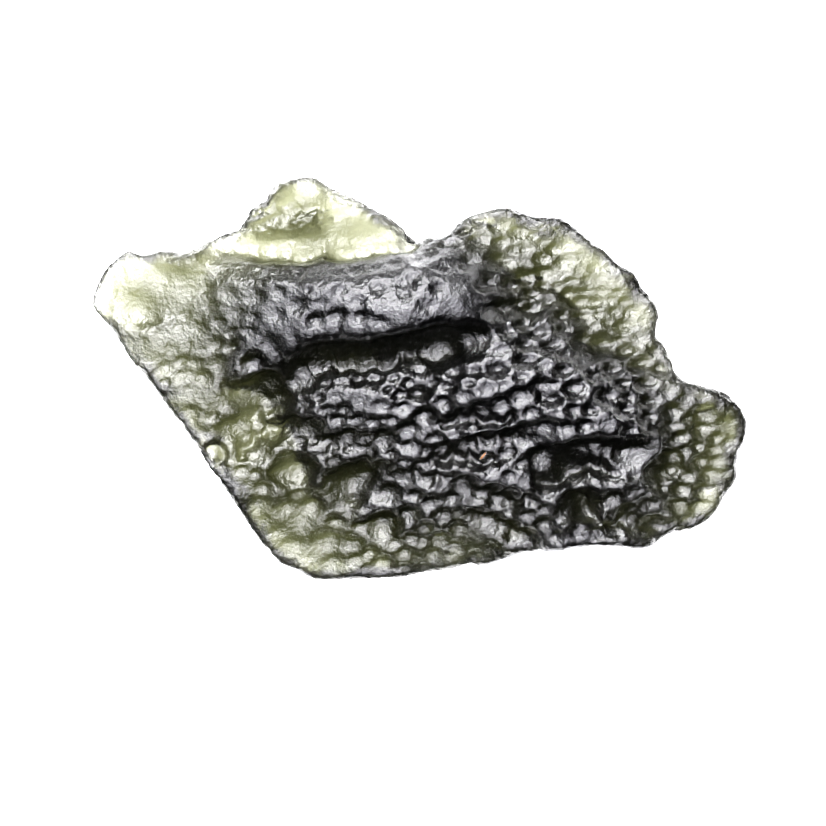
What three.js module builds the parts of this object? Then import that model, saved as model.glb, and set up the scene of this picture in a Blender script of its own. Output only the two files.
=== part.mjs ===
// Raw moldavite: one leaf-shaped splash of green natural glass, etched all over with small pits, lying on
// its flatter face. Millimetres, +Z up, X along the stone, +Y towards its crested side, origin on the
// resting surface under the middle of the stone's box.
import * as THREE from "three";

const LENGTH = 32.8; // along X, tip to tip
const RIM_STEP = 0.46; // spacing of the points round the thin edge
const RIM_INSET = 0.18; // the first ring of the face, inside that edge
const RIM_LEVEL = 0.85; // where the edge lies between the two faces, as a share of the thickness
const RIM_ROUND = { top: 0.45, under: 1.5 }; // how far in each face reaches its full height
const RIM_BEND = 0.75; // 0.5 rounds the faces fully at the edge, 1 lets them meet in a sharp wedge
const LEAST_THICKNESS = 0.7; // of the thin parts
const LEAST_AT_RIM = 0.9; // thickness by which the edge is placed, where the stone is thinner than that

const SEED = 20771;

// The edge seen from above, anticlockwise from the left tip. Chips and corners have a point each.
const OUTLINE = [
  [-16.4, 4.0], [-16.3, 3.5], [-15.95, 3.05], [-15.4, 2.55], [-15.05, 1.95], [-14.65, 1.3], [-14.2, 0.65],
  [-13.6, 0.05], [-13.1, -0.65], [-12.6, -1.4], [-11.7, -2.55], [-11.05, -3.55], [-10.65, -4.25],
  [-10.0, -5.05], [-9.2, -6.3], [-8.3, -7.65], [-7.55, -8.65], [-7.0, -9.2], [-6.0, -9.6], [-5.45, -9.95],
  [-4.7, -10.05], [-3.4, -10.0], [-2.0, -9.95], [-0.8, -9.9], [0.25, -9.65], [1.6, -9.5], [2.5, -9.25],
  [3.1, -9.35], [4.6, -8.9], [5.5, -8.6], [6.4, -8.7], [7.3, -8.6], [8.0, -8.4], [9.0, -8.35], [10.2, -8.4],
  [11.15, -8.5], [11.7, -8.3], [12.1, -7.9], [12.7, -7.65], [13.6, -7.5], [14.4, -7.05], [15.0, -6.45],
  [15.3, -5.75], [15.75, -5.2], [15.95, -4.65], [15.85, -4.0], [16.1, -3.45], [16.3, -2.85], [16.4, -2.15],
  [16.2, -1.6], [15.8, -1.0], [15.2, -0.55], [14.3, -0.3], [13.6, -0.1], [13.0, 0.1], [12.7, 0.7],
  [12.4, 1.5], [11.9, 2.2], [11.8, 2.65], [12.05, 3.0], [11.95, 3.45], [11.75, 4.05], [11.15, 4.55],
  [10.95, 5.05], [10.6, 5.5], [9.9, 5.8], [9.3, 6.45], [8.4, 7.1], [7.6, 7.75], [7.0, 8.15], [6.25, 8.15],
  [5.15, 8.35], [4.7, 8.6], [4.15, 8.65], [3.4, 8.5], [2.6, 8.25], [2.0, 8.0], [1.5, 7.4], [1.0, 7.1],
  [0.45, 7.25],
  [0.0, 7.0], [-0.4, 7.15], [-0.8, 7.6], [-1.4, 8.1], [-2.1, 8.5], [-2.9, 8.95], [-3.7, 9.4], [-4.5, 9.7],
  [-5.1, 10.1], [-5.6, 10.2], [-6.4, 10.05], [-7.1, 9.95], [-7.55, 9.5], [-7.9, 8.95], [-8.35, 8.7],
  [-8.65, 8.3], [-8.95, 7.65], [-9.7, 7.45], [-10.5, 7.05], [-11.3, 6.6], [-12.2, 6.4], [-12.9, 6.55],
  [-13.5, 6.3], [-14.0, 6.3], [-14.5, 6.6], [-15.1, 6.15], [-15.7, 5.6], [-16.15, 4.75],
];

// Heights of the upper face above the resting surface, at places across the stone: [x, y, height].
const UPPER_SPOTS = [
  [-16, 4, 2.1], [-13.5, 4.5, 2.5], [-13.5, 1.6, 2.9], [-11, 4.5, 3.0], [-11, 1.4, 3.1], [-8.4, 4.4, 3.9],
  [-8.4, 2.2, 3.9], [-6.2, 4.3, 4.6], [-6.2, 2.6, 4.7], [-4.2, 4.5, 5.0], [-4.2, 2.5, 5.1], [-1, 4.5, 5.6],
  [-1, 2.4, 5.6], [2, 4.4, 5.5], [2, 2.6, 5.4], [-12.5, 6, 2.4], [-9.5, 6.6, 2.6], [-7, 6.9, 2.5],
  [-6, 9, 2.9], [-3.5, 7.4, 2.5], [-3, 8.7, 2.3], [-1, 7, 3.0], [2.6, 7.4, 3.4], [4.5, 7.6, 3.1],
  [7, 7, 2.9], [4.5, 5, 3.5], [7, 4.4, 3.0], [9.5, 5, 2.8], [11, 3.6, 2.7], [9.5, 2.4, 3.1], [6, 2, 4.6],
  [11.7, 1, 2.9], [-11, -2, 3.1], [-8.5, -1, 3.6], [-5.5, -0.6, 4.5], [-2.5, -0.5, 5.0], [0.8, 0.4, 5.2],
  [3.5, -0.6, 5.7], [6, -1, 5.7], [9, -1, 5.2], [12, -1.2, 4.0], [14.4, -2, 3.3], [15.6, -3.6, 2.7],
  [-9.3, -4.6, 3.2], [-6.5, -4, 3.6], [-3.5, -3.6, 4.0], [0, -3, 4.8], [4, -3.6, 5.1], [7, -4, 5.2],
  [10, -4, 5.0], [13, -4.5, 3.6], [14.6, -5.6, 2.7], [-7.4, -7.4, 2.7], [-5, -6.6, 3.0], [-2, -6, 3.5],
  [1, -6, 4.3], [4, -6.4, 4.8], [7, -6.6, 5.2], [10, -6.6, 5.0], [12.6, -6.8, 3.0], [-5.4, -9.2, 2.3],
  [-2, -9, 2.7], [2, -8.6, 2.7], [5, -8, 3.4], [9, -7.9, 4.4],
];
const SPOT_REACH = 1.35;

// How each face rolls between those places: height and wave numbers.
const ROLLS = {
  top: { height: 0.13, waves: [1.7, 0.8, 0.9, -1.9] },
  under: { height: 0.22, waves: [0.9, 1.3, 0.7, -1.1] },
};

// Steps in the upper face. The ground is higher on the left of the line's direction.
// drop is the step's height, width how wide its wall is, reach how far off the line it fades out,
// undercut how far its lip stands out over its foot, and footRow whether a row of pits runs along that foot.
const LEDGES = [
  // the dark overhanging step under the crest
  {
    line: [
      [-10.6, -1.1], [-9, -0.1], [-7.4, 0.4], [-6, 1.4], [-4.4, 2.0], [-2.4, 1.8], [-0.8, 2.1], [0.8, 2.6],
      [2.6, 2.7], [3.9, 2.2],
    ],
    drop: 1.9, width: 0.7, reach: 1.9, undercut: 0.25, footRow: false,
  },
  // the shoulder between the body and the thin crested flange, high towards -Y
  {
    line: [
      [0.2, 6.5], [-0.8, 6.3], [-2.2, 6.0], [-4.4, 5.7], [-7, 5.7], [-9.4, 5.9], [-11.4, 5.6],
    ],
    drop: 1.7, width: 0.3, reach: 1.5, undercut: 0.25,
  },
  // the curved terraces below the step
  {
    line: [[-10.4, -2.8], [-9, -1.9], [-7.6, -1.0], [-5.8, -1.0]],
    drop: 1.4, width: 0.28, reach: 0.9, undercut: 0.2,
  },
  {
    line: [[-9.5, -3.8], [-8.6, -2.7], [-7.4, -2.1], [-5.8, -2.0], [-4.4, -2.4]],
    drop: 1.4, width: 0.28, reach: 0.9, undercut: 0.2,
  },
  { line: [[-5.2, -3.6], [-4, -2.7], [-2.2, -2.8], [-0.8, -2.6]], drop: 0.9, width: 0.25, reach: 0.8 },
  { line: [[-4.6, -4.7], [-3.3, -4.1], [-1.8, -4.0], [-1.0, -5.0]], drop: 0.8, width: 0.25, reach: 0.8 },
  // the scale-edged rows on the right
  {
    line: [[1.0, -2.0], [2.5, -1.5], [4.0, -1.1], [5.5, -0.4], [6.8, 0]],
    drop: 1.1, width: 0.25, reach: 0.8, undercut: 0.1,
  },
  {
    line: [[0.4, -3.4], [1.8, -3.2], [3, -2.8], [4.8, -2.6], [6.2, -2.2], [7.1, -2.5]],
    drop: 1.2, width: 0.25, reach: 0.8, undercut: 0.1,
  },
  {
    line: [[5.0, -3.9], [6.5, -3.5], [8.5, -3.2], [10.2, -3.4], [11.3, -4.1]],
    drop: 1.8, width: 0.45, reach: 1.1, undercut: 0.15,
  },
  { line: [[1.3, -5.1], [2.8, -5.0], [4.0, -5.4], [5.5, -5.8]], drop: 1.0, width: 0.25, reach: 0.8 },
  {
    line: [[1.0, -6.6], [2.8, -6.4], [4.0, -6.8], [5.2, -7.4], [6.4, -8.0]],
    drop: 0.7, width: 0.25, reach: 0.7,
  },
  { line: [[8.8, -5.4], [10, -6.0], [11, -6.9], [12.4, -6.6]], drop: 1.2, width: 0.3, reach: 0.8 },
  // the small steps near the upper right edge
  { line: [[3.2, 3.4], [4.0, 3.8], [5.0, 3.7], [6.3, 2.9]], drop: 0.7, width: 0.25, reach: 0.7 },
  { line: [[4.0, 1.5], [5.0, 1.7], [6.3, 1.4]], drop: 0.6, width: 0.25, reach: 0.7 },
  { line: [[7.0, 1.4], [8.0, 1.9], [9.0, 1.7], [9.8, 1.0]], drop: 0.7, width: 0.3, reach: 0.8 },
  { line: [[1.4, 5.8], [2.3, 6.2], [3.3, 6.1]], drop: 0.5, width: 0.25, reach: 0.6 },
];

const LIP_RISE = 0.2; // the share of a drop by which the ground rises to its lip
const LEDGE_ENDS = 0.15; // a ledge sets in and dies out over this share of its length

// Furrows in the upper face, and the flange's two crests, which have a depth below zero: a line, its depth
// and its half width.
const FURROWS = [
  { line: [[1.3, 1.4], [0.4, 0.2], [0.0, -1.2], [-0.1, -3.2]], depth: 0.55, width: 0.4 },
  { line: [[-12.4, 5.9], [-10.7, 6.55], [-8.9, 7.1], [-7.1, 7.55], [-5.2, 8.0]], depth: -0.6, width: 0.45 },
  { line: [[-8.0, 8.0], [-7.4, 9.0], [-6.9, 9.7]], depth: -0.5, width: 0.4 },
  { line: [[8.0, -4.2], [7.9, -5.6], [8.3, -7.2]], depth: 0.5, width: 0.5 },
];

// Single large bowls in the upper face: [x, y, radius along X, radius along Y, depth].
const BOWLS = [
  [-6.3, -4.5, 1.2, 0.95, 0.9], [-3.2, -5.2, 1.5, 1.3, 0.5], [-5.9, -6.2, 1.3, 0.9, 0.4],
  [-1.6, -7.2, 1.0, 0.8, 0.4], [8.0, -6.4, 1.0, 1.0, 0.9], [12.0, -4.2, 1.3, 0.9, 0.5],
  [10.4, -3.1, 1.1, 0.5, 0.4], [14.4, -1.7, 0.9, 0.6, 0.35], [5.2, 3.1, 0.9, 0.4, 0.35],
  [7.6, 3.9, 0.8, 0.5, 0.3], [2.6, 6.2, 0.7, 0.4, 0.3], [-13.8, 3.4, 1.2, 1.0, 0.25],
];

const BOWL_RIM = { width: 0.4, height: 0.35 }; // shares of a bowl's radius and depth

// Single pits that stand out from the rest: [x, y, size, depth].
const SINGLE_PITS = [
  [-10.3, -3.8, 0.95, 0.5], // an open bubble at the left edge
  [-4.5, -8.15, 1.15, 0.35], [-1.7, -5.7, 1.1, 0.5], [-6.0, 3.6, 0.9, 0.35], [2.4, 5.6, 0.9, 0.4],
  [0.9, 4.5, 0.9, 0.4], [5.2, 4.9, 0.85, 0.35], [-8.3, 0.9, 0.9, 0.4],
];

// The face it lies on: rolling a little in the middle, lifting towards the thin edges: [x, y, height].
const UNDER_SPOTS = [
  [-16, 4, 1.2], [-13.5, 3.5, 1.2], [-11, 2, 1.2], [-11, -1.5, 1.2], [-9, 5, 1.3], [-6, 9.2, 1.4],
  [-6.5, 6.5, 1.2], [-2, 7, 1.0], [-5, 2, 0.2], [-9.3, -4.5, 1.2], [-7.2, -7, 1.0], [-5, -8.5, 0.8],
  [-1, -8.5, 0.7], [-2, -3, 0.25], [0, 3, 0.35], [4.5, 7.6, 1.3], [4, 3, 0.3], [7.5, 5.5, 1.2],
  [9.5, 5.4, 1.2], [4.6, 5.4, 0.9], [8, 0, 0.25], [9.5, 2.5, 0.9], [4, -3, 0.3], [6, -7.5, 0.7],
  [11, -7, 0.8], [11.5, 1.5, 1.1], [14.2, -2.5, 1.1], [15.3, -3.5, 1.1], [12, -3, 0.35],
];
const LEAST_LIFT = 0.12; // of the underside, away from the worn spots

// Worn spots that the stone rests on, flat and free of pits: [x, y, radius].
const REST_SPOTS = [[-6.6, 0.4, 1.3], [-1.6, -5.4, 1.2], [0.6, 3.6, 1.3], [8.6, -1.8, 1.4]];
const WORN_EDGE = 0.8; // a worn spot passes into pitted ground over this distance

// Pits of each face: their size along Y, their depth as a share of it, the height of the ridges between
// them, and how far the deepest place leans towards +Y.
const PITS = {
  top: { size: 0.76, depth: 0.34, ridge: 0.02, lean: 0.08 },
  under: { size: 1.3, depth: 0.25, ridge: 0.06, lean: 0.0 },
};
const PIT_STRETCH = 1.25; // they are longer along X than along Y
const PIT_SPREAD = { least: 0.7, most: 1.3 }; // their sizes vary between these shares
const PIT_DEPTH_SPREAD = { least: 0.6, most: 1.4 };
const RIDGE_SPREAD = { least: 0.4, most: 1.6 };
const LEAN_SPREAD = { least: 0.5, most: 1.5 };
const PIT_TRIES = 90000;
const RIM_CLEARANCE = 0.45; // how near a pit's centre comes to the inner ring, as a share of its size
const ROW_PACKING = 0.85; // pits in a row along a ledge come this much closer together
const ROW_DEPTH = 0.65; // and are this much shallower
const LIP_SHARE = 0.75; // how far a ridge rises towards the highest of the pits that it parts
const THROUGH_SHARE = 0.35; // a pit takes at most this share of the thickness
const RIM_PITS = { reach: 0.9, share: 0.35 }; // pits keep this share of their depth at the edge

// Where pits of the upper face are fainter, and where they are smaller or larger: [x, y, radius, share].
const PIT_DEPTHS = [
  [-14.4, 4.2, 2.4, 0.35], [-12.2, 2.4, 2.2, 0.5], [-10.4, 4.0, 2.0, 0.5], [-8.2, 6.6, 1.1, 0.3],
  [-6.2, 6.8, 1.1, 0.3], [-4.2, 7.1, 1.1, 0.3], [-2.2, 7.3, 1.3, 0.3], [-6.4, 9.0, 1.4, 0.6],
  [-7.8, 3.4, 2.0, 0.4], [-5, 4.1, 2.0, 0.4], [-1.6, 4.4, 2.0, 0.4], [1.8, 4.8, 1.8, 0.4],
  [4.6, 6.8, 2.2, 0.5], [8.2, 5.4, 2.4, 0.55], [10.6, 3.6, 2.0, 0.55], [8.4, 2.6, 1.8, 0.6],
  [12.8, -0.8, 2.0, 0.7], [15.4, -3.6, 1.6, 0.6], [-3.4, -5.4, 1.6, 0.3], [-6.3, -4.5, 1.5, 0.25],
  [-5.6, -7.8, 2.2, 0.45], [-8.6, -2.2, 2.0, 0.55], [4.6, -3.0, 2.6, 1.3], [8.6, -4.2, 2.4, 1.3],
  [-3.2, -0.4, 2.0, 0.6], [2.4, 0.9, 1.5, 0.6], [3.0, -8.3, 1.8, 0.45], [-8.6, -6.4, 1.6, 0.5],
];
const PIT_SIZES = [
  [-14.4, 4.2, 2.4, 0.8], [-6.6, 7.6, 2.4, 0.65], [-3.6, 8.4, 1.8, 0.7], [6.8, 6.4, 2.8, 0.75],
  [10.4, 3.8, 2.4, 0.75], [0.2, -8.8, 1.6, 0.7], [-5.5, 3.8, 2.2, 1.3], [-2.0, 4.2, 2.2, 1.3],
  [1.4, 4.6, 1.8, 1.2], [4.4, -2.8, 2.4, 1.1], [8.0, -3.6, 2.2, 1.1], [13.6, -3.0, 1.8, 0.85],
  [-9.0, 2.5, 2.0, 1.1], [-3.0, -0.8, 2.4, 0.85],
];
const PATCH = { core: 0.6, edge: 1.2 }; // it holds in full in its core and fades out at its edge, in radii

function randomStream(seed) {
  let state = seed;
  return () => {
    state = (state + 0x6d2b79f5) | 0;
    let t = Math.imul(state ^ (state >>> 15), 1 | state);
    t = (t + Math.imul(t ^ (t >>> 7), 61 | t)) ^ t;
    return ((t ^ (t >>> 14)) >>> 0) / 4294967296;
  };
}

const smoothStep = (t) => {
  const c = Math.min(1, Math.max(0, t));
  return c * c * (3 - 2 * c);
};

const between = (spread, random) => spread.least + (spread.most - spread.least) * random();

// The nearest place on an open line: distance, side (positive on the left), position from 0 to 1 along it,
// and the line's direction there.
function nearestOnLine(line, x, y) {
  let best = { distance: Infinity };
  for (let i = 0; i < line.length - 1; i++) {
    const [ax, ay] = line[i];
    const [dx, dy] = [line[i + 1][0] - ax, line[i + 1][1] - ay];
    const t = Math.min(1, Math.max(0, ((x - ax) * dx + (y - ay) * dy) / (dx * dx + dy * dy)));
    const distance = Math.hypot(x - ax - t * dx, y - ay - t * dy);
    if (distance < best.distance) {
      const side = dx * (y - ay) - dy * (x - ax) >= 0 ? 1 : -1;
      const length = Math.hypot(dx, dy);
      best = { distance, side, along: (i + t) / (line.length - 1), dx: dx / length, dy: dy / length };
    }
  }
  return best;
}

// Height given by hand-placed spots, each weighted by how near it is.
function spotHeight(spots, x, y) {
  let sum = 0;
  let weights = 0;
  for (const [sx, sy, height] of spots) {
    const d2 = ((x - sx) ** 2 + (y - sy) ** 2) / SPOT_REACH ** 2;
    const weight = Math.exp(-d2 / 2) + 1e-3 / (1 + d2 * d2);
    sum += weight * height;
    weights += weight;
  }
  return sum / weights;
}

const ledgeEnds = (along) => smoothStep(along / LEDGE_ENDS) * smoothStep((1 - along) / LEDGE_ENDS);

function ledgeHeight(x, y) {
  let height = 0;
  for (const { line, drop, width, reach } of LEDGES) {
    const { distance, side, along } = nearestOnLine(line, x, y);
    const wall = Math.min(1, distance / width) * (side > 0 ? LIP_RISE : LIP_RISE - 1);
    height += drop * wall * Math.exp(-((distance / reach) ** 2)) * ledgeEnds(along);
  }
  return height;
}

// How far a place moves sideways so that the ledges' lips stand out over their feet.
function undercutShift(x, y) {
  const shift = [0, 0];
  for (const { line, undercut = 0, reach } of LEDGES) {
    const { distance, side, along, dx, dy } = nearestOnLine(line, x, y);
    const far = undercut * side * ledgeEnds(along) * (1 - smoothStep(distance / reach));
    shift[0] += far * dy;
    shift[1] -= far * dx;
  }
  return shift;
}

function furrowDepth(x, y) {
  let depth = 0;
  for (const furrow of FURROWS) {
    const { distance } = nearestOnLine(furrow.line, x, y);
    depth += furrow.depth * Math.exp(-((distance / furrow.width) ** 2));
  }
  return depth;
}

function bowlDepth(x, y) {
  let depth = 0;
  for (const [bx, by, rx, ry, deep] of BOWLS) {
    const r = Math.hypot((x - bx) / rx, (y - by) / ry);
    const outside = (r - 1) / BOWL_RIM.width;
    if (outside < 0) depth += deep * (1 - r * r);
    else if (outside < 1) depth -= BOWL_RIM.height * deep * Math.sin(outside * Math.PI);
  }
  return depth;
}

const outline = new THREE.CatmullRomCurve3(
  OUTLINE.map(([x, y]) => new THREE.Vector3(x, y, 0)),
  true,
  "centripetal",
);
const RIM_COUNT = Math.round(outline.getLength() / RIM_STEP);
const rim = outline.getSpacedPoints(RIM_COUNT).slice(0, RIM_COUNT).map((p) => [p.x, p.y]);

// The ring just inside the edge, moved in square to it.
const innerRing = rim.map(([x, y], i) => {
  const before = rim[(i + RIM_COUNT - 1) % RIM_COUNT];
  const after = rim[(i + 1) % RIM_COUNT];
  const length = Math.hypot(after[0] - before[0], after[1] - before[1]);
  return [
    x - (RIM_INSET * (after[1] - before[1])) / length,
    y + (RIM_INSET * (after[0] - before[0])) / length,
  ];
});

function distanceToRim(x, y) {
  let best = Infinity;
  rim.forEach(([ax, ay], i) => {
    const [bx, by] = rim[(i + 1) % RIM_COUNT];
    const [dx, dy] = [bx - ax, by - ay];
    const t = Math.min(1, Math.max(0, ((x - ax) * dx + (y - ay) * dy) / (dx * dx + dy * dy)));
    best = Math.min(best, Math.hypot(x - ax - t * dx, y - ay - t * dy));
  });
  return best;
}

function isInside(ring, x, y) {
  let inside = false;
  ring.forEach(([ax, ay], i) => {
    const [bx, by] = ring[(i + 1) % ring.length];
    if (ay > y !== by > y && x < ((bx - ax) * (y - ay)) / (by - ay) + ax) inside = !inside;
  });
  return inside;
}

// How flat the underside is at a place: 1 on a worn spot, 0 away from them.
function wornFlat(x, y) {
  const past = REST_SPOTS.map(([rx, ry, radius]) => Math.hypot(x - rx, y - ry) - radius);
  return 1 - smoothStep(Math.min(...past) / WORN_EDGE);
}

function roll(side, x, y) {
  const [a, b, c, d] = ROLLS[side].waves;
  return ROLLS[side].height * Math.sin(a * x + b * y) * Math.cos(c * x + d * y);
}

const fullHeight = {
  top: (x, y) => {
    const ground = spotHeight(UPPER_SPOTS, x, y) + roll("top", x, y);
    const carved = ground + ledgeHeight(x, y) - furrowDepth(x, y) - bowlDepth(x, y);
    return Math.max(carved, fullHeight.under(x, y) + LEAST_THICKNESS);
  },
  under: (x, y) => {
    const ground = spotHeight(UNDER_SPOTS, x, y) + roll("under", x, y);
    return Math.max(LEAST_LIFT, ground) * (1 - wornFlat(x, y));
  },
};

function rimHeight(x, y) {
  const under = fullHeight.under(x, y);
  return under + RIM_LEVEL * Math.max(LEAST_AT_RIM, spotHeight(UPPER_SPOTS, x, y) - under);
}

// The face without pits: full height inside, rounding down or up to the edge.
function faceHeight(side, x, y) {
  const edge = rimHeight(x, y);
  const t = Math.min(1, distanceToRim(x, y) / RIM_ROUND[side]);
  return edge + (fullHeight[side](x, y) - edge) * (1 - (1 - t) ** 2) ** RIM_BEND;
}

function faceNormal(side, x, y) {
  const h = 0.05; // the half step that the slope is taken over
  const dx = (faceHeight(side, x + h, y) - faceHeight(side, x - h, y)) / (2 * h);
  const dy = (faceHeight(side, x, y + h) - faceHeight(side, x, y - h)) / (2 * h);
  const normal = new THREE.Vector3(-dx, -dy, 1).normalize();
  return side === "top" ? normal : normal.negate();
}

// The share that holds at a place: that of the patch it lies deepest in, fading to 1 outside all patches.
function patchShare(patches, x, y) {
  let share = 1;
  let deepest = 0;
  for (const [px, py, radius, own] of patches) {
    const out = Math.hypot(x - px, y - py) / radius;
    const inPatch = 1 - smoothStep((out - PATCH.core) / (PATCH.edge - PATCH.core));
    if (inPatch > deepest) [deepest, share] = [inPatch, 1 + (own - 1) * inPatch];
  }
  return share;
}

const onLedgeWall = (x, y) => LEDGES.some(({ line, width }) => nearestOnLine(line, x, y).distance < width);

// Pit centres in rows along each ledge: one row above its wall and, on most, one at its foot, half a pit
// further along.
function ledgeRows() {
  const { size } = PITS.top;
  const rows = [];
  for (const { line, width, footRow = true } of LEDGES) {
    const curve = new THREE.CatmullRomCurve3(line.map(([x, y]) => new THREE.Vector3(x, y, 0)));
    const count = Math.round(curve.getLength() / (size * PIT_STRETCH));
    const above = [width + 0.5 * size, 0.5];
    for (const [offset, shift] of footRow ? [above, [-width, 0]] : [above]) {
      for (let i = 0; i < count; i++) {
        const place = curve.getPointAt((i + shift) / count);
        const along = curve.getTangentAt((i + shift) / count);
        rows.push([place.x - offset * along.y, place.y + offset * along.x]);
      }
    }
  }
  return rows;
}

// Pits of one face: [x, y, size, depth]. Past the rows they are thrown at random, never overlapping.
function pitCentres(side, random) {
  const { size, depth } = PITS[side];
  const centres = [];
  const addCentre = (x, y, own, deep) => {
    const close = ([cx, cy, other]) => Math.hypot((x - cx) / PIT_STRETCH, y - cy) < (own + other) / 2;
    if (centres.some(close) || !isInside(innerRing, x, y)) return;
    if (distanceToRim(x, y) < RIM_INSET + RIM_CLEARANCE * own) return;
    centres.push([x, y, own, deep * own * pitShare(side, x, y) * between(PIT_DEPTH_SPREAD, random)]);
  };
  if (side === "top") {
    SINGLE_PITS.forEach((pit) => centres.push(pit));
    ledgeRows().forEach(([x, y]) => addCentre(x, y, ROW_PACKING * size, ROW_DEPTH * depth));
  }
  for (let i = 0; i < PIT_TRIES; i++) {
    const [x, y] = [(random() - 0.5) * LENGTH, (random() - 0.5) * LENGTH];
    const share = between(PIT_SPREAD, random);
    const zone = side === "top" ? patchShare(PIT_SIZES, x, y) : 1;
    if (side === "under" || !onLedgeWall(x, y)) addCentre(x, y, share * zone * size, depth);
  }
  return centres;
}

// Delaunay triangles of flat points, by adding the points one at a time.
function triangulate(points) {
  const far = 1e4;
  const all = [...points, [-far, -far], [far, -far], [0, far]];
  const circled = (a, b, c) => {
    const [ax, ay] = all[a];
    const [bx, by] = [all[b][0] - ax, all[b][1] - ay];
    const [cx, cy] = [all[c][0] - ax, all[c][1] - ay];
    const d = 2 * (bx * cy - by * cx);
    const ux = (cy * (bx * bx + by * by) - by * (cx * cx + cy * cy)) / d;
    const uy = (bx * (cx * cx + cy * cy) - cx * (bx * bx + by * by)) / d;
    return { corners: d > 0 ? [a, b, c] : [a, c, b], x: ax + ux, y: ay + uy, r2: ux * ux + uy * uy };
  };
  const count = points.length;
  let found = [circled(count, count + 1, count + 2)];
  points.forEach(([x, y], p) => {
    const open = new Map();
    found = found.filter((t) => {
      if ((t.x - x) ** 2 + (t.y - y) ** 2 >= t.r2) return true;
      t.corners.forEach((a, k) => {
        const b = t.corners[(k + 1) % 3];
        if (!open.delete(`${b},${a}`)) open.set(`${a},${b}`, [a, b]);
      });
      return false;
    });
    for (const [a, b] of open.values()) found.push(circled(a, b, p));
  });
  return found.map((t) => t.corners).filter((t) => t.every((v) => v < count));
}

const vertices = rim.map(([x, y]) => new THREE.Vector3(x, y, rimHeight(x, y)));
const faces = [];

function pitShare(side, x, y) {
  const inside = smoothStep((distanceToRim(x, y) - RIM_INSET) / RIM_PITS.reach);
  if (side === "under") return inside * (1 - wornFlat(x, y));
  return patchShare(PIT_DEPTHS, x, y) * (RIM_PITS.share + (1 - RIM_PITS.share) * inside);
}

// One face of the stone. Each pit centre is a low point, and the middle of each triangle between three pits
// is a point on the ridges that part them.
function addFace(side, random) {
  const { ridge, lean } = PITS[side];
  const addTriangle = (a, b, c) => faces.push(side === "top" ? [a, b, c] : [a, c, b]);
  const addVertex = (x, y, out) => {
    const [across, along] = side === "top" ? undercutShift(x, y) : [0, 0];
    const point = new THREE.Vector3(x + across, y + along, faceHeight(side, x, y));
    point.addScaledVector(faceNormal(side, x, y), out);
    if (side === "under") point.z = Math.max(0, point.z);
    return vertices.push(point) - 1;
  };

  const centres = pitCentres(side, random);
  const points = [...innerRing, ...centres];
  const cells = triangulate(points).filter((t) => {
    const [x, y] = [0, 1].map((k) => (points[t[0]][k] + points[t[1]][k] + points[t[2]][k]) / 3);
    return isInside(innerRing, x, y);
  });

  const heights = points.map(([x, y]) => faceHeight(side, x, y));
  const index = points.map(([x, y, , deep], i) => {
    if (i < RIM_COUNT) return addVertex(x, y, 0);
    const most = THROUGH_SHARE * (faceHeight("top", x, y) - faceHeight("under", x, y));
    return addVertex(x, y + lean * between(LEAN_SPREAD, random), -Math.min(deep, most));
  });
  const owner = new Map();
  cells.forEach((t) => {
    const [x, y] = [0, 1].map((k) => (points[t[0]][k] + points[t[1]][k] + points[t[2]][k]) / 3);
    const share = pitShare(side, x, y);
    const middle = addVertex(x, y, ridge * share * between(RIDGE_SPREAD, random));
    if (side === "top" && t.every((i) => i >= RIM_COUNT)) {
      const rise = Math.max(...t.map((i) => heights[i])) - vertices[middle].z;
      vertices[middle].z += LIP_SHARE * share * Math.max(0, rise);
    }
    t.forEach((a, k) => owner.set(`${a},${t[(k + 1) % 3]}`, middle));
  });
  for (const [edge, left] of owner) {
    const [a, b] = edge.split(",").map(Number);
    const right = owner.get(`${b},${a}`);
    if (right === undefined) addTriangle(index[a], index[b], left);
    else addTriangle(index[a], right, left);
  }
  for (let i = 0; i < RIM_COUNT; i++) {
    const j = (i + 1) % RIM_COUNT;
    addTriangle(i, j, index[j]);
    addTriangle(i, index[j], index[i]);
  }
}

const random = randomStream(SEED);
addFace("top", random);
addFace("under", random);

const geometry = new THREE.BufferGeometry();
geometry.setAttribute("position", new THREE.Float32BufferAttribute(vertices.flatMap((v) => v.toArray()), 3));
geometry.setIndex(faces.flat());
geometry.computeBoundingBox();
const box = geometry.boundingBox;
geometry.translate(-(box.min.x + box.max.x) / 2, -(box.min.y + box.max.y) / 2, -box.min.z);
geometry.computeVertexNormals();

const glass = new THREE.MeshStandardMaterial({ color: 0x5f6b4c, roughness: 0.3, metalness: 0 });
const stone = new THREE.Mesh(geometry, glass);
stone.name = "moldavite";

const part = new THREE.Group();
part.add(stone);
export default part;
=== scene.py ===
import math
import random

import bmesh
import bpy
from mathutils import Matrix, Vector
from mathutils.bvhtree import BVHTree
from mathutils.kdtree import KDTree


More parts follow.
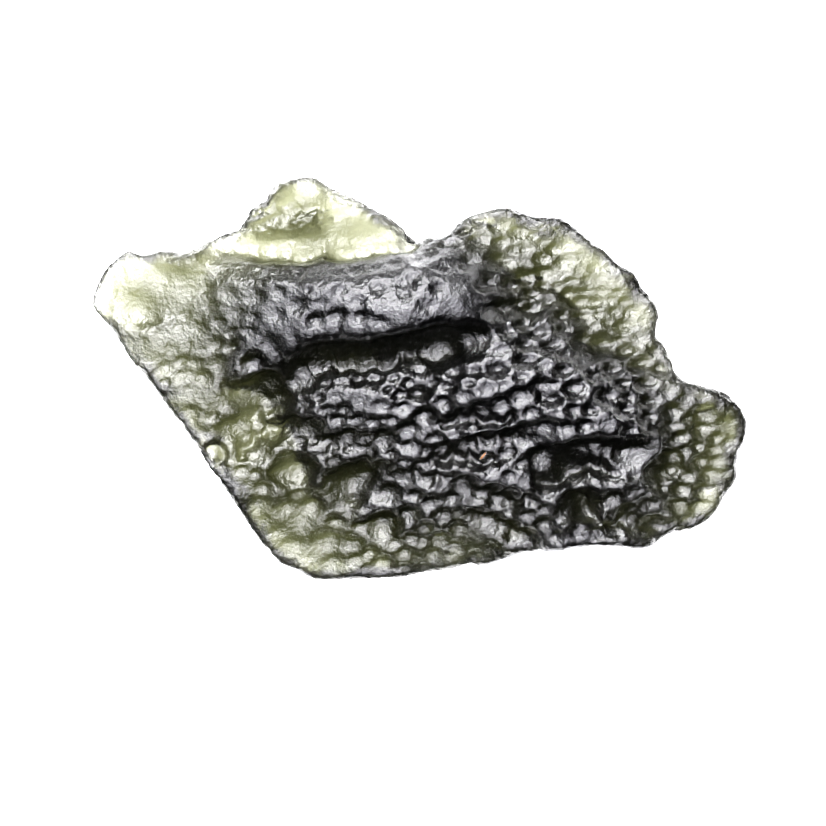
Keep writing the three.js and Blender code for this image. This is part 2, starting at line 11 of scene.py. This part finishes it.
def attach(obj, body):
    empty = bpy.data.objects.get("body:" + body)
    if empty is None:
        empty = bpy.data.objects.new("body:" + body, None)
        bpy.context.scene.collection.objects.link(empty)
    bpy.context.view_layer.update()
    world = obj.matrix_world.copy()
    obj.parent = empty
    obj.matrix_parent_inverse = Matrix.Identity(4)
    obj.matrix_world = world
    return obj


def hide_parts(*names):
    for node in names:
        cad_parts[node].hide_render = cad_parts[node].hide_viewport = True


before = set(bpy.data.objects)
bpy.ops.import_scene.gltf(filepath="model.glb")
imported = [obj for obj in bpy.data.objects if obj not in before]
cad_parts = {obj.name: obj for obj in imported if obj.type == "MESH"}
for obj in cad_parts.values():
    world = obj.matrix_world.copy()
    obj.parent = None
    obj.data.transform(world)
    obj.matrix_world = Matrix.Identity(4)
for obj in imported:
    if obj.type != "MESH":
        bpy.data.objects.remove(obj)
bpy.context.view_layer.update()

# The stone: one splash of natural green glass, etched by the ground. It is grown from the solid: each pit
# there is mostly filled again, the whole is rounded, and bowls and scalloped terraces are then carved, most
# with a steep wall towards the crested side and a longer ramp. A spot is its x, y and radius, in mm.
MM = 0.001
PIT_RISE = 0.07
PIT_REFILL = 0.8
SMOOTHED_SPOTS = (
    (-1.5, 6.1, 0.7), (-2.7, 5.95, 0.9), (-4.1, 5.75, 0.9), (-5.5, 5.7, 0.9), (-6.9, 5.7, 0.9),
    (-8.3, 5.8, 0.9), (-9.7, 5.85, 0.9), (3.4, 1.1, 1.5), (9.2, -4.4, 1.3),
)
SMOOTHING_ROUNDS = 4
SMOOTHING_SHARE = 0.5
MERGE_DISTANCE = 0.0001 * MM


def near_any(spots, place):
    return any(math.hypot(place.x / MM - x, place.y / MM - y) < radius for x, y, radius in spots)


stone = bpy.data.objects.new("moldavite_stone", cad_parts["moldavite"].data.copy())
bpy.context.scene.collection.objects.link(stone)
stone.data.materials.clear()
bpy.ops.object.select_all(action="DESELECT")
bpy.context.view_layer.objects.active = stone
stone.select_set(True)
bpy.ops.object.mode_set(mode="EDIT")
bpy.ops.mesh.select_all(action="SELECT")
bpy.ops.mesh.remove_doubles(threshold=MERGE_DISTANCE)
bpy.ops.mesh.customdata_custom_splitnormals_clear()
bpy.ops.mesh.select_all(action="DESELECT")
solid = bmesh.from_edit_mesh(stone.data)
pits = []
for vertex in solid.verts:
    others = [edge.other_vert(vertex).co for edge in vertex.link_edges]
    reach = sum((other - vertex.co).length for other in others) / len(others)
    rise = sum((other - vertex.co).dot(vertex.normal) for other in others) / len(others)
    if rise > PIT_RISE * reach:
        pits.append((vertex, vertex.co.copy(), vertex.normal.copy(), reach, rise))
for vertex, place, normal, reach, rise in pits:
    vertex.co = place + PIT_REFILL * rise * normal
smoothed = [v for v in solid.verts if v.normal.z > 0 and near_any(SMOOTHED_SPOTS, v.co)]
for _ in range(SMOOTHING_ROUNDS):
    for vertex in smoothed:
        middle = sum((edge.other_vert(vertex).co for edge in vertex.link_edges), Vector())
        vertex.co = vertex.co.lerp(middle / len(vertex.link_edges), SMOOTHING_SHARE)
bmesh.update_edit_mesh(stone.data)
bpy.ops.object.mode_set(mode="OBJECT")

rounding = stone.modifiers.new("rounded_ground", "SUBSURF")
rounding.levels = rounding.render_levels = 2
bpy.ops.object.modifier_apply(modifier=rounding.name)

skin = stone.data.vertices
tree = KDTree(len(skin))
for vertex in skin:
    tree.insert(vertex.co, vertex.index)
tree.balance()
shell = BVHTree.FromObject(stone, bpy.context.evaluated_depsgraph_get())
chance = random.Random(7)

# The bowls: one in each pit of the solid, smaller ones strewn between them, crowded ones that wrinkle the
# crest of the flange, and a few large ones, each an x, y, radius and depth in mm. In the smooth band above
# the dark step the pits stand apart, with no small ones between them.
BOWL_REACH = 0.86
BOWL_DEPTH = 1.2
BOWL_STEEPEST = 0.55
CALM_SPOTS = (
    (-12.6, 2.8, 2.0), (-10.2, 3.4, 1.8), (-7.6, 3.6, 2.2), (-4.8, 4.0, 1.8), (-1.8, 4.3, 1.8),
    (1.2, 4.8, 1.7),
)
CALM_REACH = 0.62
CALM_STEEPNESS = 0.36
SMALL_BOWLS = 700
SMALL_RADII = (0.16 * MM, 0.34 * MM)
SMALL_STEEPNESS = 0.3
WRINKLED_BANDS = (
    (((-12.0, 6.0), (-10.7, 6.75), (-8.9, 7.35), (-7.0, 7.75), (-5.2, 8.1), (-3.4, 8.7)), 0.4, 170),
    (((-8.3, 8.3), (-7.3, 9.2)), 0.5, 45),
    (((-4.6, 9.4), (-2.6, 8.6), (-0.9, 7.4)), 0.3, 50),
)
WRINKLE_STEEPNESS = 0.55
LARGE_BOWLS = (
    (-6.2, -4.7, 1.15, 0.45), (-3.5, -5.3, 1.3, 0.35), (-1.2, -5.7, 0.75, 0.3), (-4.5, -8.2, 0.6, 0.25),
    (8.0, -6.3, 1.1, 0.6), (-1.1, -1.6, 0.6, 0.25), (-6.0, -7.1, 0.8, 0.2), (3.4, 3.3, 0.6, 0.25),
    (-5.1, 2.85, 0.55, 0.3), (-4.05, 3.05, 0.5, 0.3), (-2.95, 2.95, 0.55, 0.32), (-1.95, 2.7, 0.45, 0.25),
)
OPEN_BUBBLE = {"x": -10.2, "y": -3.8, "radius": 0.45, "width": 0.14, "depth": 0.5}
CRESTED_SIDE = Vector((-0.2, 1, 0)).normalized()
RAMP_SHARE = 0.62
STRETCH = 1.2
SEARCH = 1.5
FACING = 0.3
SKY = 20 * MM
UNDER_SKIN = 0.05 * MM
FIRM_THICKNESS = 2.7 * MM
THIN_POWER = 1.5


def seen_from_above(x, y):
    place, normal, _, _ = shell.ray_cast((x * MM, y * MM, SKY), (0, 0, -1))
    return place, normal


bowls = []
for _, place, normal, reach, rise in pits:
    depth = min(BOWL_DEPTH * rise, BOWL_STEEPEST * reach)
    reach *= BOWL_REACH
    if near_any(CALM_SPOTS, place):
        reach *= CALM_REACH
        depth = CALM_STEEPNESS * reach
    bowls.append((place, normal, reach, depth, True))
for _ in range(SMALL_BOWLS):
    place = chance.choice(skin)
    reach = chance.uniform(*SMALL_RADII)
    if not near_any(CALM_SPOTS, place.co):
        bowls.append((place.co.copy(), place.normal.copy(), reach, SMALL_STEEPNESS * reach, True))
for line, half_width, count in WRINKLED_BANDS:
    for _ in range(count):
        a, b = chance.choice(list(zip(line, line[1:])))
        t = chance.random()
        x, y = (p + t * (q - p) + chance.uniform(-half_width, half_width) for p, q in zip(a, b))
        place, normal = seen_from_above(x, y)
        if place:
            reach = chance.uniform(*SMALL_RADII)
            bowls.append((place, normal, reach, WRINKLE_STEEPNESS * reach, False))
for x, y, radius, depth in LARGE_BOWLS:
    bowls.append((*seen_from_above(x, y), radius * MM, depth * MM, True))

directions = [vertex.normal.copy() for vertex in skin]
thickness = [shell.ray_cast(v.co - UNDER_SKIN * v.normal, -v.normal)[3] or 0 for v in skin]
firmness = [min(1, through / FIRM_THICKNESS) ** THIN_POWER for through in thickness]
carved = [0.0] * len(skin)
for centre, normal, reach, depth, softened in bowls:
    uphill = (CRESTED_SIDE - CRESTED_SIDE.dot(normal) * normal).normalized()
    for place, index, _ in tree.find_range(centre, SEARCH * reach):
        offset = place - centre
        flat = offset - offset.dot(normal) * normal
        up = flat.dot(uphill) / reach
        side = math.sqrt(max(0, flat.length_squared / reach ** 2 - up ** 2)) / STRETCH
        if up ** 2 + side ** 2 < 1 and directions[index].dot(normal) > FACING:
            half = math.sqrt(1 - side ** 2)
            along = (up + half) / (2 * half)
            ramp = min(along / RAMP_SHARE, (1 - along) / (1 - RAMP_SHARE))
            share = firmness[index] if softened else 1
            carved[index] = max(carved[index], share * depth * (1 - side ** 2) * ramp)
for vertex in skin:
    out = math.hypot(vertex.co.x / MM - OPEN_BUBBLE["x"], vertex.co.y / MM - OPEN_BUBBLE["y"])
    if vertex.normal.z > 0 and out < 2 * OPEN_BUBBLE["radius"]:
        ring = math.exp(-((out - OPEN_BUBBLE["radius"]) / OPEN_BUBBLE["width"]) ** 2)
        carved[vertex.index] += OPEN_BUBBLE["depth"] * MM * ring

# The terraces: steps in the upper face whose lips hang down in scallops. Each is a line from left to right
# with its high ground towards the crested side, the step's depth, and how far it reaches from the line, in
# mm. A step's wall is steep and its ramp long, but the broadest ones have a broad dark wall.
TERRACES = (
    (((-6.9, 0.9), (-6.0, 1.5), (-5.3, 1.6), (-4.6, 2.05), (-3.7, 1.9), (-2.8, 1.9), (-2.0, 1.95),
      (-1.2, 2.45), (-0.5, 2.35), (0.5, 2.75), (1.5, 2.75), (2.6, 2.7), (3.3, 2.2)), 0.75, 1.6),
    (((-10.4, -1.0), (-9.9, 0.0), (-9.1, 0.0), (-8.3, 0.1), (-7.3, 0.4), (-6.4, 0.5)), 0.35, 0.8),
    (((-11.0, -2.0), (-10.4, -1.1), (-9.7, -1.2)), 0.3, 0.8),
    (((-10.4, -3.0), (-9.6, -2.15), (-8.9, -1.75), (-7.9, -1.05), (-7.0, -0.95), (-5.6, -1.0)), 0.5, 0.75),
    (((-9.6, -4.1), (-8.9, -3.0), (-8.3, -2.4), (-7.7, -2.05), (-6.9, -1.95), (-5.6, -2.1)), 0.5, 0.75),
    (((-5.3, -3.8), (-4.8, -3.1), (-4.2, -2.75), (-3.6, -2.8), (-2.9, -3.1), (-2.0, -2.75)), 0.4, 0.9),
    (((-5.4, -5.3), (-4.6, -4.8), (-4.2, -4.35), (-3.4, -4.15), (-2.6, -3.95), (-1.9, -4.2)), 0.35, 0.7),
    (((-5.3, -2.0), (-4.7, -1.55), (-4.0, -1.75), (-3.4, -1.8)), 0.25, 0.6),
    (((-3.5, -2.1), (-2.8, -1.9), (-1.9, -1.75)), 0.25, 0.6),
    (((-2.2, -2.9), (-1.5, -2.95), (-0.7, -2.85), (0.1, -2.8)), 0.3, 0.7),
    (((-2.0, -4.2), (-1.2, -4.35), (-0.4, -4.2), (0.5, -4.45), (1.3, -4.4), (1.9, -4.1)), 0.55, 1.0),
    (((0.0, -1.8), (1.1, -1.85), (1.7, -1.45), (2.8, -1.5), (3.9, -1.65), (4.2, -1.15), (5.2, -1.1)),
     0.6, 1.0),
    (((5.3, -0.8), (6.0, -0.3), (7.0, -0.5)), 0.5, 0.9),
    (((0.3, -2.6), (1.2, -2.5), (2.0, -3.05), (2.6, -2.7), (3.6, -2.65), (4.6, -2.5), (5.4, -2.65),
      (6.2, -2.5), (7.0, -2.0)), 0.6, 0.9),
    (((-0.3, -3.65), (0.6, -3.5), (1.5, -3.35), (2.4, -3.3), (3.1, -3.5), (4.0, -3.4), (4.9, -3.6)),
     0.65, 1.1),
    (((4.9, -3.8), (5.6, -3.5), (6.3, -3.8), (6.9, -3.4), (7.4, -3.1), (8.3, -3.15), (9.2, -3.2),
      (10.0, -3.5), (10.9, -3.7)), 0.9, 1.6),
    (((1.6, -5.0), (2.6, -5.15), (3.6, -5.3), (4.4, -5.8), (5.0, -5.6), (6.7, -5.7)), 0.5, 0.8),
    (((1.9, -6.0), (2.9, -6.4), (3.7, -6.4), (4.3, -6.9), (5.2, -7.3), (6.2, -7.5)), 0.5, 1.0),
    (((6.9, -5.8), (7.6, -5.25), (8.2, -5.4), (8.8, -6.0), (9.3, -6.6), (10.2, -6.3), (11.2, -6.2)),
     0.9, 1.5),
    (((3.1, 3.4), (3.9, 3.85), (4.7, 3.7), (5.5, 3.2)), 0.35, 0.7),
    (((4.3, 1.1), (5.0, 1.45), (5.8, 1.4), (6.4, 1.0)), 0.3, 0.6),
    (((7.2, 1.2), (8.0, 1.65), (8.8, 1.6), (9.4, 1.1)), 0.35, 0.6),
    (((9.1, 2.1), (10.0, 2.3), (10.7, 1.8)), 0.25, 0.5),
    (((-1.4, 4.9), (-0.6, 5.2), (0.1, 4.9)), 0.25, 0.5),
    (((-8.2, 8.6), (-7.2, 9.0), (-6.2, 9.1)), 0.25, 0.6),
    (((-7.0, 8.4), (-5.9, 8.8), (-4.6, 8.9), (-3.4, 8.9)), 0.22, 0.6),
    (((1.7, 5.8), (2.4, 6.2), (3.1, 5.7)), 0.3, 0.5),
)
SCALLOP = 0.95
SCALLOP_HEIGHT = 0.24
FADE = 0.22
WALL_SHARE = 0.36
BROAD_WALL_SHARE = 0.75
BROAD_RUN = 1.5
UPWARD = 0.2
MARGIN = 0.3
DEEPEST_SHARE = 0.25


def below_line(line, x, y):
    nearest = (math.inf, 0, 0)
    start = 0
    for (ax, ay), (bx, by) in zip(line, line[1:]):
        length = math.dist((ax, ay), (bx, by))
        dx, dy = (bx - ax) / length, (by - ay) / length
        t = min(length, max(0, (x - ax) * dx + (y - ay) * dy))
        apart = math.hypot(x - ax - t * dx, y - ay - t * dy)
        above = dx * (y - ay) - dy * (x - ax) >= 0
        nearest = min(nearest, (apart, -apart if above else apart, start + t))
        start += length
    return nearest[1:]


upper = [(v.index, v.co.x / MM, v.co.y / MM) for v in skin if v.normal.z > UPWARD]
for line, depth, run in TERRACES:
    total = sum(math.dist(a, b) for a, b in zip(line, line[1:]))
    left, right = line[0][0] - run, line[-1][0] + run
    low, high = min(y for _, y in line) - run - MARGIN, max(y for _, y in line) + MARGIN
    wall = BROAD_WALL_SHARE if run > BROAD_RUN else WALL_SHARE
    for index, x, y in upper:
        if left < x < right and low < y < high:
            below, along = below_line(line, x, y)
            below -= SCALLOP_HEIGHT * abs(math.sin(math.pi * along / SCALLOP))
            if 0 < below < run:
                ends = min(1, along / (FADE * total), (total - along) / (FADE * total))
                far = below / run
                drop = depth * MM * ends * min(far / wall, (1 - far) / (1 - wall))
                carved[index] = max(carved[index], drop)
for vertex, direction, depth, through in zip(skin, directions, carved, thickness):
    if depth:
        vertex.co -= min(depth, DEEPEST_SHARE * through) * direction

# The finest etching: the carved crests are worn a little round, and then two sizes of shallow cells go over
# the whole skin.
CREST_WEAR = 0.5
WEAR_ROUNDS = 2
ETCH_LAYERS = (("small_pits", 0.42 * MM, 0.03 * MM), ("fine_pits", 0.26 * MM, 0.025 * MM))
ETCH_MIDDLE = 0.3

worn = stone.modifiers.new("worn_crests", "SMOOTH")
worn.factor = CREST_WEAR
worn.iterations = WEAR_ROUNDS
bpy.ops.object.modifier_apply(modifier=worn.name)

for name, across, height in ETCH_LAYERS:
    cells = bpy.data.textures.new(name, "VORONOI")
    cells.distance_metric = "DISTANCE_SQUARED"
    cells.noise_scale = across
    etch = stone.modifiers.new(name, "DISPLACE")
    etch.texture = cells
    etch.texture_coords = "LOCAL"
    etch.mid_level = ETCH_MIDDLE
    etch.strength = height
    bpy.ops.object.modifier_apply(modifier=etch.name)
bpy.ops.object.shade_smooth()

# The glass: clear through, darker and greener the thicker it is, frosted in patches by the etching, with a
# soft sheen over its fine grain. A tan fleck of clay sticks in one of the recesses on the right.
FLECK = {"place": (3.15 * MM, -3.85 * MM, 4.5 * MM), "turn": math.radians(50),
         "half_size": (0.24 * MM, 0.06 * MM, 1.5 * MM)}
FLECK_EDGE = (0.8, 1.2)
CLEAR = (0.95, 0.95, 0.95, 1)
CLAY = (0.24, 0.12, 0.04, 1)
PATCHES_PER_METRE = 260
PATCH_RANGE = (0.35, 0.65)
FROST_RANGE = (0.28, 0.52)
GRAINS_PER_METRE = 5200
GRAIN_HEIGHT = 0.06 * MM

glass = bpy.data.materials.new("moldavite_glass")
glass.use_nodes = True
nodes, links = glass.node_tree.nodes, glass.node_tree.links
shader = nodes["Principled BSDF"]
shader.inputs["IOR"].default_value = 1.49
shader.inputs["Coat Weight"].default_value = 1.0
shader.inputs["Coat IOR"].default_value = 1.55
shader.inputs["Coat Roughness"].default_value = 0.22
absorb = nodes.new("ShaderNodeVolumeAbsorption")
absorb.inputs["Color"].default_value = (0.285, 0.295, 0.125, 1)
absorb.inputs["Density"].default_value = 2050
links.new(absorb.outputs["Volume"], nodes["Material Output"].inputs["Volume"])
where = nodes.new("ShaderNodeTexCoord")
patches = nodes.new("ShaderNodeTexNoise")
patches.inputs["Scale"].default_value = PATCHES_PER_METRE
patches.inputs["Detail"].default_value = 2
links.new(where.outputs["Object"], patches.inputs["Vector"])
frost = nodes.new("ShaderNodeMapRange")
frost.inputs["From Min"].default_value, frost.inputs["From Max"].default_value = PATCH_RANGE
frost.inputs["To Min"].default_value, frost.inputs["To Max"].default_value = FROST_RANGE
links.new(patches.outputs["Fac"], frost.inputs["Value"])
links.new(frost.outputs["Result"], shader.inputs["Roughness"])
grain = nodes.new("ShaderNodeTexNoise")
grain.inputs["Scale"].default_value = GRAINS_PER_METRE
grain.inputs["Detail"].default_value = 2
links.new(where.outputs["Object"], grain.inputs["Vector"])
bump = nodes.new("ShaderNodeBump")
bump.inputs["Strength"].default_value = 1.0
bump.inputs["Distance"].default_value = GRAIN_HEIGHT
links.new(grain.outputs["Fac"], bump.inputs["Height"])
links.new(bump.outputs["Normal"], shader.inputs["Normal"])
links.new(bump.outputs["Normal"], shader.inputs["Coat Normal"])
from_fleck = nodes.new("ShaderNodeMapping")
from_fleck.vector_type = "TEXTURE"
from_fleck.inputs["Location"].default_value = FLECK["place"]
from_fleck.inputs["Rotation"].default_value = (0, 0, FLECK["turn"])
from_fleck.inputs["Scale"].default_value = FLECK["half_size"]
links.new(where.outputs["Object"], from_fleck.inputs["Vector"])
distance = nodes.new("ShaderNodeVectorMath")
distance.operation = "LENGTH"
links.new(from_fleck.outputs["Vector"], distance.inputs[0])
outside = nodes.new("ShaderNodeMapRange")
outside.inputs["From Min"].default_value, outside.inputs["From Max"].default_value = FLECK_EDGE
links.new(distance.outputs["Value"], outside.inputs["Value"])
links.new(outside.outputs["Result"], shader.inputs["Transmission Weight"])
tint = nodes.new("ShaderNodeMix")
tint.data_type = "RGBA"
tint.inputs["A"].default_value = CLAY
tint.inputs["B"].default_value = CLEAR
links.new(outside.outputs["Result"], tint.inputs["Factor"])
links.new(tint.outputs["Result"], shader.inputs["Base Color"])
stone.data.materials.append(glass)

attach(stone, "root")
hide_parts("moldavite")

# The pale floor that the stone lies on: matt white paper, lit from below like a light table, so that light
# shines up through the thin edges.
FLOOR_SIDE = 0.6
FLOOR_GLOW = 2.0

bpy.ops.mesh.primitive_plane_add(size=FLOOR_SIDE, location=(0, 0, 0))
floor = bpy.context.object
floor.name = "floor"
paper = bpy.data.materials.new("floor_paper")
paper.use_nodes = True
paper_shader = paper.node_tree.nodes["Principled BSDF"]
paper_shader.inputs["Base Color"].default_value = (0.9, 0.9, 0.9, 1)
paper_shader.inputs["Roughness"].default_value = 0.9
paper_shader.inputs["Emission Color"].default_value = (1, 1, 1, 1)
paper_shader.inputs["Emission Strength"].default_value = FLOOR_GLOW
floor.data.materials.append(paper)

# Soft studio light: a window-like lamp beyond the crested side, a panel overhead with a broader and dimmer
# one around it, and a faint dome. Each panel is a side in metres and a power in watts.
LAMP_DISTANCE = 0.32
LAMP_HEIGHT = math.radians(46)
LAMP_TURN = math.radians(14)
LAMP_SIDES = (0.28, 0.16)
LAMP_POWER = 1.0
PANEL_PLACE = Vector((-0.08, 0.13, 0.6))
PANELS = ((0.5, 3.6), (1.2, 8.5))
PANEL_COLOUR = (0.95, 0.94, 1.0)
DOME_GLOW = 0.05

lamp_place = LAMP_DISTANCE * Vector((-math.sin(LAMP_TURN) * math.cos(LAMP_HEIGHT),
                                     math.cos(LAMP_TURN) * math.cos(LAMP_HEIGHT), math.sin(LAMP_HEIGHT)))
bpy.ops.object.light_add(type="AREA", location=lamp_place)
lamp = bpy.context.object
lamp.data.shape = "RECTANGLE"
lamp.data.size, lamp.data.size_y = LAMP_SIDES
lamp.data.energy = LAMP_POWER
lamp.rotation_euler = (-lamp_place).to_track_quat("-Z", "Y").to_euler()

for size, energy in PANELS:
    bpy.ops.object.light_add(type="AREA", location=PANEL_PLACE)
    panel = bpy.context.object
    panel.data.size = size
    panel.data.energy = energy
    panel.data.color = PANEL_COLOUR
    panel.rotation_euler = (-PANEL_PLACE).to_track_quat("-Z", "Y").to_euler()

world = bpy.data.worlds.new("dome")
bpy.context.scene.world = world
world.use_nodes = True
world.node_tree.nodes["Background"].inputs["Color"].default_value = (0.95, 0.97, 1.0, 1)
world.node_tree.nodes["Background"].inputs["Strength"].default_value = DOME_GLOW

# The camera looks straight down on the broad face, as the photograph does. Its lens gives the photograph's
# scale at the height of the rim, and STONE_MIDDLE is where the photograph has the middle, in its pixels.
PHOTO_SIDE = 826
PIXEL = 0.05 * MM
STONE_MIDDLE = (419.5, 378.5)
CAMERA_HEIGHT = 0.32
RIM_HEIGHT = 1.8 * MM
SENSOR = 36

bpy.ops.object.camera_add(location=((PHOTO_SIDE / 2 - STONE_MIDDLE[0]) * PIXEL,
                                    (STONE_MIDDLE[1] - PHOTO_SIDE / 2) * PIXEL, CAMERA_HEIGHT))
camera = bpy.context.object
camera.data.sensor_width = SENSOR
camera.data.lens = SENSOR * (CAMERA_HEIGHT - RIM_HEIGHT) / (PHOTO_SIDE * PIXEL)
camera.data.clip_start = 0.01
camera.data.clip_end = 5
bpy.context.scene.camera = camera
bpy.context.scene.view_settings.view_transform = "Standard"
bpy.context.scene.view_settings.look = "Very High Contrast"
bpy.context.scene.view_settings.exposure = -0.25
